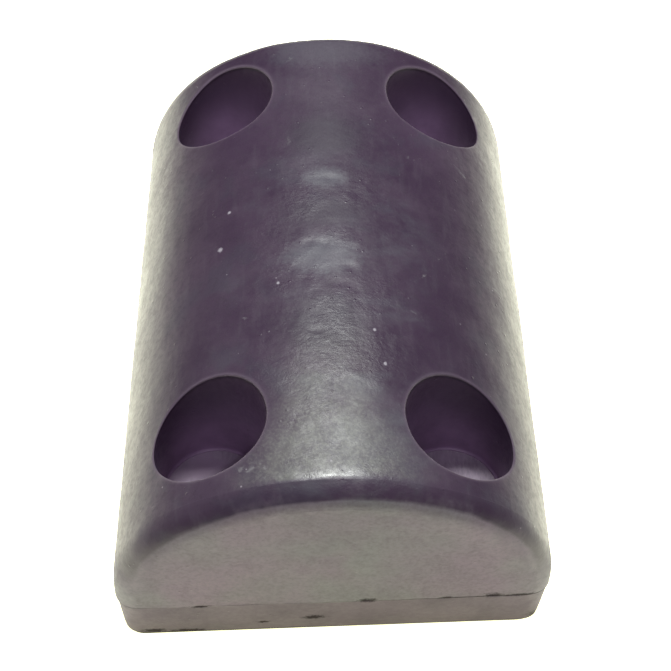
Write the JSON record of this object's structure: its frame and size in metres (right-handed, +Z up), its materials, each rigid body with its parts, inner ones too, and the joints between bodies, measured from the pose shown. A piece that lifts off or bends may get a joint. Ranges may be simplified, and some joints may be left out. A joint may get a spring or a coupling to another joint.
{
  "type": "rubber speed bump block",
  "caption": "Heavy arched black rubber block, bolted down through deep round wells, with a moulded-in steel plate and spacer sleeves.",
  "frame": {"origin": "centre of the flat base that sits on the road", "axes": "+Z up through the crown, +Y along the block, +X across it"},
  "size_m": [0.25, 0.358, 0.15],
  "materials": {
    "rubber": "as-moulded black rubber, slightly dusty, soft sheen",
    "plate_steel": "mild steel, dulled by bonding primer and rubber film",
    "sleeve_steel": "plain drawn steel tube, sawn ends"
  },
  "bodies": {
    "root": {"rubber_block": "rubber", "reinforcing_plate": "plate_steel", "bolt_sleeve_1": "sleeve_steel", "bolt_sleeve_2": "sleeve_steel", "bolt_sleeve_3": "sleeve_steel", "bolt_sleeve_4": "sleeve_steel"}
  },
  "joints": []
}
